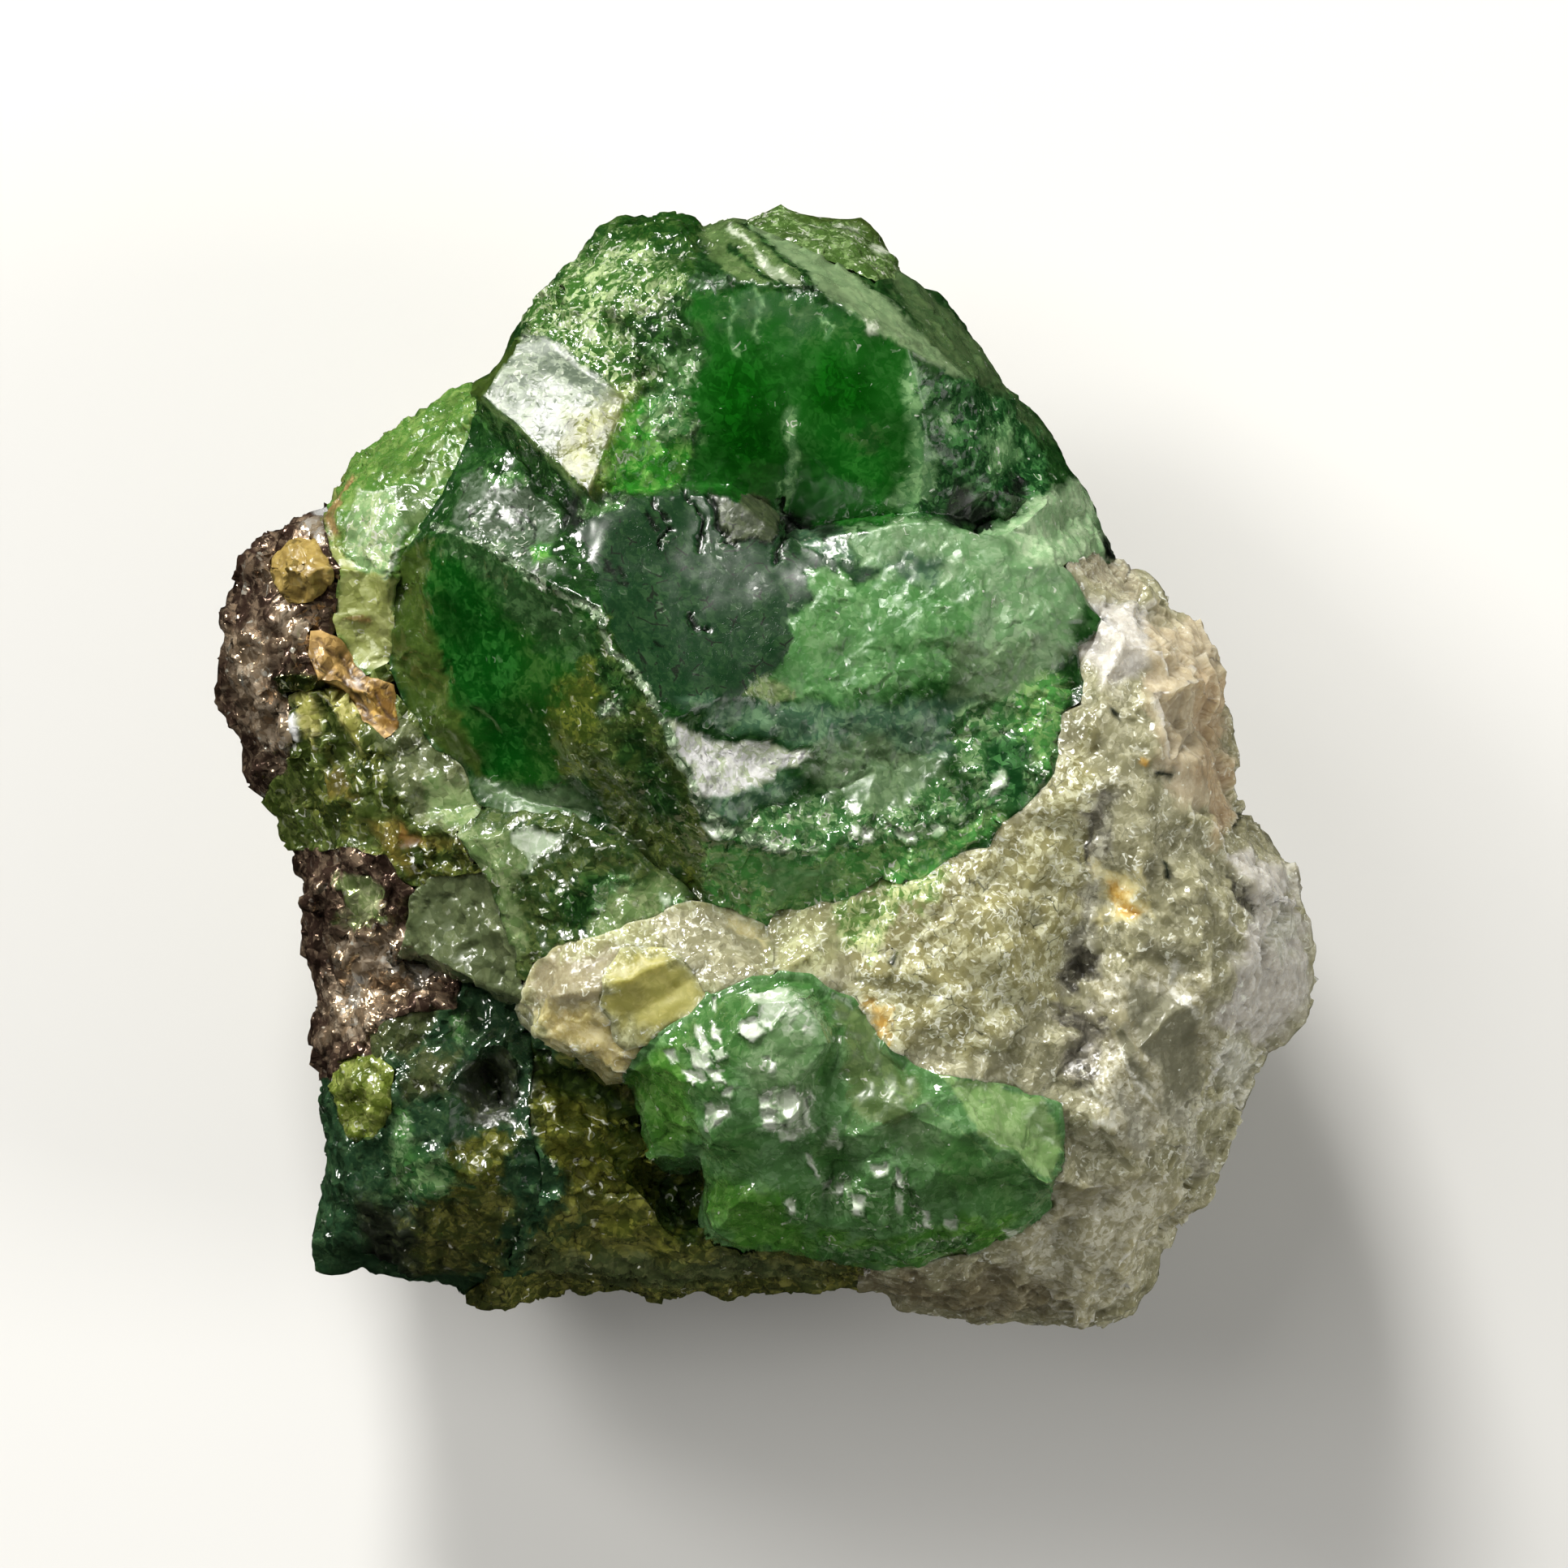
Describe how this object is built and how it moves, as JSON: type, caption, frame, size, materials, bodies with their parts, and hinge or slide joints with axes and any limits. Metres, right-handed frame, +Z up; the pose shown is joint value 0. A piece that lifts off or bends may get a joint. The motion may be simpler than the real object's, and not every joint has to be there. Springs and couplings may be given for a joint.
{
  "type": "tsavorite garnet on matrix",
  "caption": "Rough deep-green tsavorite garnet crystals on a broken matrix of grey quartz, with graphite schist and weathered host rock; lies on a flat broken back.",
  "frame": {"origin": "middle of the specimen seen from above, on the surface that it rests on", "axes": "+Z up out of the green face, +Y towards the upper edge of the large crystal, +X towards the quartz side"},
  "size_m": [0.032, 0.0328, 0.0187],
  "materials": {
    "main_tsavorite": "fractured glassy, translucent deep green",
    "lower_tsavorite": "glassy lumpy, translucent green",
    "rim_tsavorite": "frosted and glassy, pale green",
    "wedge_tsavorite": "frosted rim, glassy green face",
    "lower_left_tsavorite": "dark, smoky green, partly frosted",
    "olive_grain": "glassy, olive",
    "grey_green_grain": "smooth, greasy, grey-green",
    "yellow_green_grain": "glassy, yellow-green",
    "golden_grain": "smooth, stained golden",
    "ochre_grain": "rough, granular",
    "rusty_flake": "splintery, iron-stained",
    "cream_quartz_grain": "granular, translucent cream",
    "diopside_patch": "mottled, greasy, fractured",
    "lower_graphite": "foliated, metallic sheen",
    "upper_graphite": "foliated, pitted, metallic sheen",
    "weathered_host": "rough, weathered brown-green",
    "quartz_matrix": "granular, translucent, fresh broken"
  },
  "bodies": {
    "root": {"main_tsavorite": "main_tsavorite", "lower_tsavorite": "lower_tsavorite", "rim_tsavorite": "rim_tsavorite", "wedge_tsavorite": "wedge_tsavorite", "lower_left_tsavorite": "lower_left_tsavorite", "olive_grain": "olive_grain", "grey_green_grain": "grey_green_grain", "yellow_green_grain": "yellow_green_grain", "golden_grain": "golden_grain", "ochre_grain": "ochre_grain", "rusty_flake": "rusty_flake", "cream_quartz_grain": "cream_quartz_grain", "diopside_patch": "diopside_patch", "lower_graphite": "lower_graphite", "upper_graphite": "upper_graphite", "weathered_host": "weathered_host", "quartz_matrix": "quartz_matrix"}
  },
  "joints": []
}
